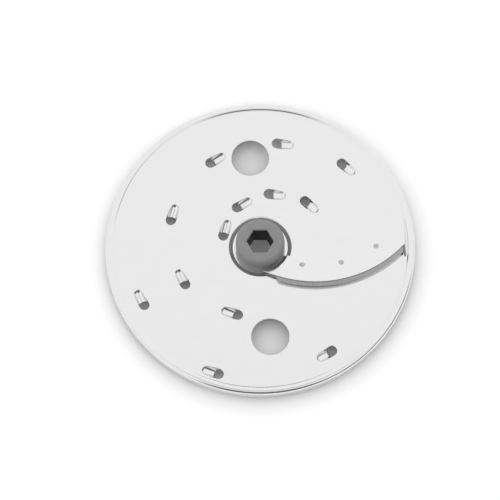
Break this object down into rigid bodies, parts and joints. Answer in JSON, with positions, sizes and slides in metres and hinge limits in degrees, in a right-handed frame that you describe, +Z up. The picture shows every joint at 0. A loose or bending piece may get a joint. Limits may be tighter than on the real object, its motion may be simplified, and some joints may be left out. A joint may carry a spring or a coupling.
{
  "type": "food processor disc",
  "caption": "Reversible round steel disc with a curved slicing blade on one side, scoop shredding teeth on the other, finger holes and a moulded hub with a hexagonal drive socket.",
  "frame": {"origin": "on the hub axis at the hub's underside, where the disc stands", "axes": "+Z up along the hub axis towards the slicing side, +X along the hex socket's corners, -Y towards the viewer of the picture"},
  "size_m": [0.17, 0.17, 0.016],
  "materials": {
    "plate_steel": "polished",
    "blade_steel": "ground",
    "hub_plastic": "satin"
  },
  "bodies": {
    "root": {"disc_plate": "plate_steel", "slicing_blade": "blade_steel", "hub": "hub_plastic"}
  },
  "joints": []
}
